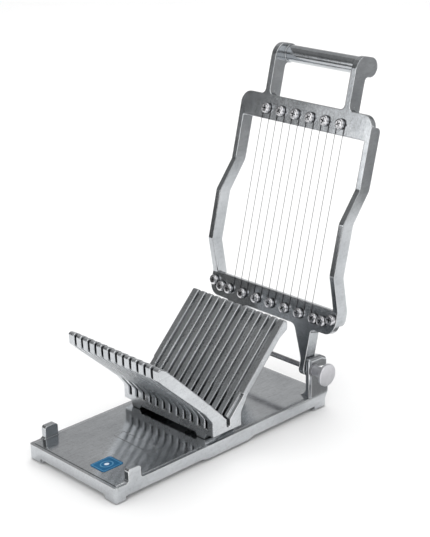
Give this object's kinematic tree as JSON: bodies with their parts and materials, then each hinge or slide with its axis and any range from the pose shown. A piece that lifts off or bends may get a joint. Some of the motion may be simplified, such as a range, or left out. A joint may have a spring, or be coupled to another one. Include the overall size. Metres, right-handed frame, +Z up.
{
  "type": "wire slicer",
  "caption": "Countertop wire slicer for cheese: cast base, ribbed V cradle and a hinged frame of cutting wires with a grip on top.",
  "frame": {"origin": "on the table, under the middle of the whole slicer with its frame open", "axes": "+Z up, +Y from the front edge towards the hinge, +X towards the clamp knob"},
  "size_m": [0.168, 0.343, 0.3315],
  "materials": {
    "cast_aluminium": "satin cast",
    "cradle_aluminium": "satin cast",
    "frame_aluminium": "satin cast",
    "pad_rubber": "matt",
    "hidden_steel": "plain",
    "rod_steel": "drawn",
    "wire_steel": "drawn",
    "screw_chrome": "bright",
    "label_film": "gloss",
    "bushing_plastic": "matt",
    "knob_aluminium": "matt turned",
    "insert_brass": "plain"
  },
  "bodies": {
    "base": {"base_casting": "cast_aluminium", "foot_pads": "pad_rubber", "foot_screws": "hidden_steel", "cradle_casting": "cradle_aluminium", "cradle_screws": "hidden_steel", "cradle_washers": "hidden_steel", "base_label": "label_film", "pivot_rod": "rod_steel", "rod_nut": "hidden_steel", "rod_nut_washer": "hidden_steel", "knob_washer": "hidden_steel"},
    "frame": {"wire_frame": "frame_aluminium", "cutting_wire": "wire_steel", "top_wire_screws": "screw_chrome", "top_wire_spools": "hidden_steel", "bottom_wire_screws": "screw_chrome", "bottom_wire_spools": "hidden_steel", "anchor_screws": "screw_chrome", "anchor_spools": "hidden_steel", "left_pivot_bushing": "bushing_plastic", "right_pivot_bushing": "bushing_plastic"},
    "knob": {"clamp_knob": "knob_aluminium", "knob_insert": "insert_brass"}
  },
  "joints": [
    {"name": "frame_hinge", "type": "hinge", "parent": "base", "child": "frame", "pos_m": [0, 0.07534, 0.0442], "axis": [1, 0, 0], "range_deg": [0, 106.9]},
    {"name": "knob_turn", "type": "hinge", "parent": "base", "child": "knob", "pos_m": [0.0705, 0.07534, 0.0442], "axis": [1, 0, 0], "continuous": true}
  ]
}
